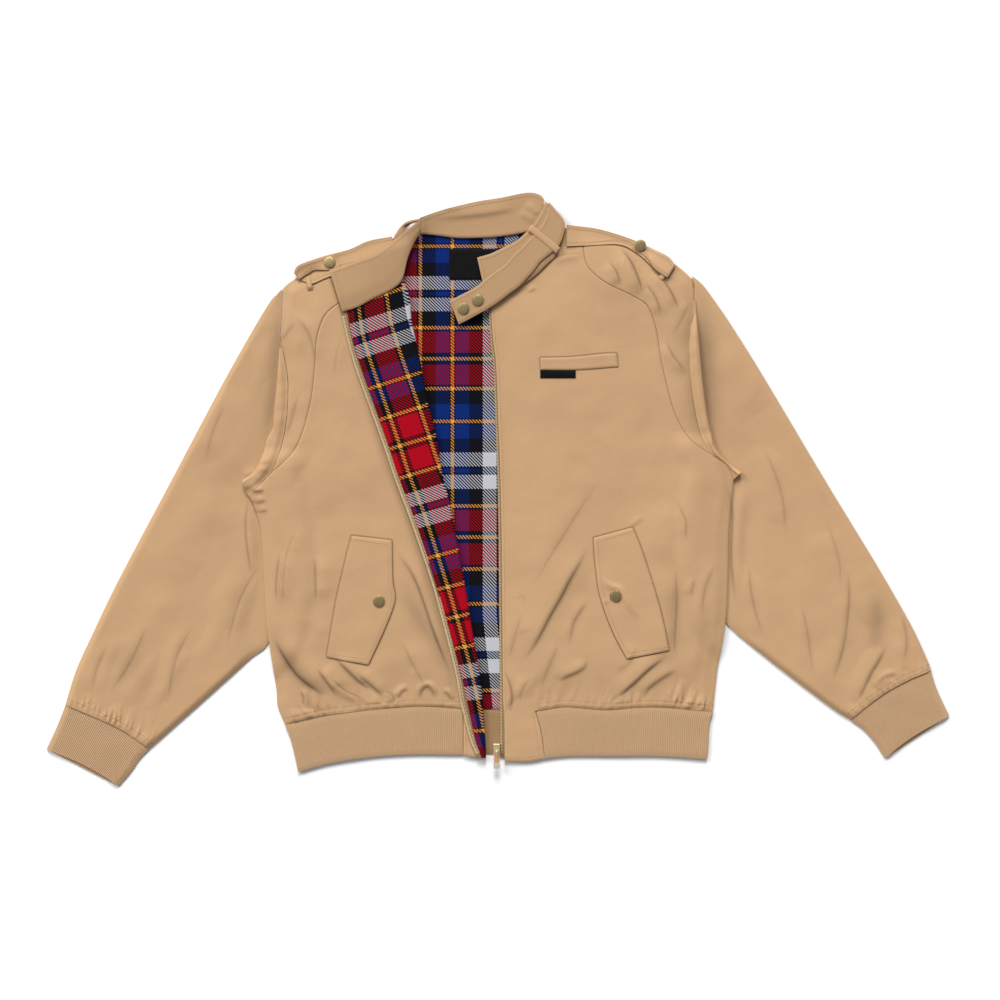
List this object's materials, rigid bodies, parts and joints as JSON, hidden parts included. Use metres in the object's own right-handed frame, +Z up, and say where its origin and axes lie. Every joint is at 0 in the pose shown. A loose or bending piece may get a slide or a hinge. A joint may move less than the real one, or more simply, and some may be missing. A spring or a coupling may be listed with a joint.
{
  "type": "harrington jacket",
  "caption": "Tan zip-front harrington jacket laid flat and open, with a tartan lining turned out as a lapel, ribbed cuffs and hem, epaulettes and a throat strap.",
  "frame": {"origin": "middle of the bounding box at the floor that the jacket's back lies on", "axes": "+Y towards the collar, +Z up out of the open front, +X towards the wearer's left sleeve"},
  "size_m": [1.1906, 0.7818, 0.0172],
  "materials": {
    "tan_cotton": "matt tan cotton twill",
    "rib_knit": "tan ribbed knit",
    "tartan_cotton": "red, blue, black, white and orange tartan twill",
    "label_black": "plain black woven label",
    "zip_tape": "tan woven zip tape",
    "snap_brass": "antique brass",
    "zip_metal": "polished gold-coloured metal",
    "pull_tab_leather": "smooth tan leather"
  },
  "bodies": {
    "jacket": {"back_body": "tan_cotton", "back_hem_rib": "rib_knit", "back_lining": "tartan_cotton", "chest_label": "label_black", "chest_welt": "tan_cotton", "collar_back": "tan_cotton", "collar_left": "tan_cotton", "collar_right": "tan_cotton", "left_cuff": "rib_knit", "left_epaulette": "tan_cotton", "left_epaulette_keeper": "tan_cotton", "left_front": "tan_cotton", "left_hem_band": "tan_cotton", "left_hem_rib": "rib_knit", "left_pocket_flap": "tan_cotton", "left_pocket_snap": "snap_brass", "left_shoulder_panel": "tan_cotton", "left_shoulder_snap": "snap_brass", "left_sleeve": "tan_cotton", "left_sleeve_head": "tan_cotton", "left_zip_tape": "zip_tape", "neck_label": "label_black", "right_cuff": "rib_knit", "right_epaulette": "tan_cotton", "right_epaulette_keeper": "tan_cotton", "right_front": "tan_cotton", "right_front_lining": "tartan_cotton", "right_hem_band": "tan_cotton", "right_hem_rib": "rib_knit", "right_pocket_flap": "tan_cotton", "right_pocket_snap": "snap_brass", "right_shoulder_panel": "tan_cotton", "right_shoulder_snap": "snap_brass", "right_sleeve": "tan_cotton", "right_sleeve_head": "tan_cotton", "right_turnback": "tan_cotton", "right_zip_tape": "zip_tape", "strap_back": "tan_cotton", "strap_inner_snap": "snap_brass", "strap_keeper": "tan_cotton", "strap_outer_snap": "snap_brass", "throat_strap": "tan_cotton", "zip_slider": "zip_metal"},
    "pull_tab": {"zip_pull_tab": "pull_tab_leather"}
  },
  "joints": [
    {"name": "pull_tab_hinge", "type": "hinge", "parent": "jacket", "child": "pull_tab", "pos_m": [-0.001, -0.346, 0.0114], "axis": [-1, 0, 0], "range_deg": [0, 150]}
  ]
}
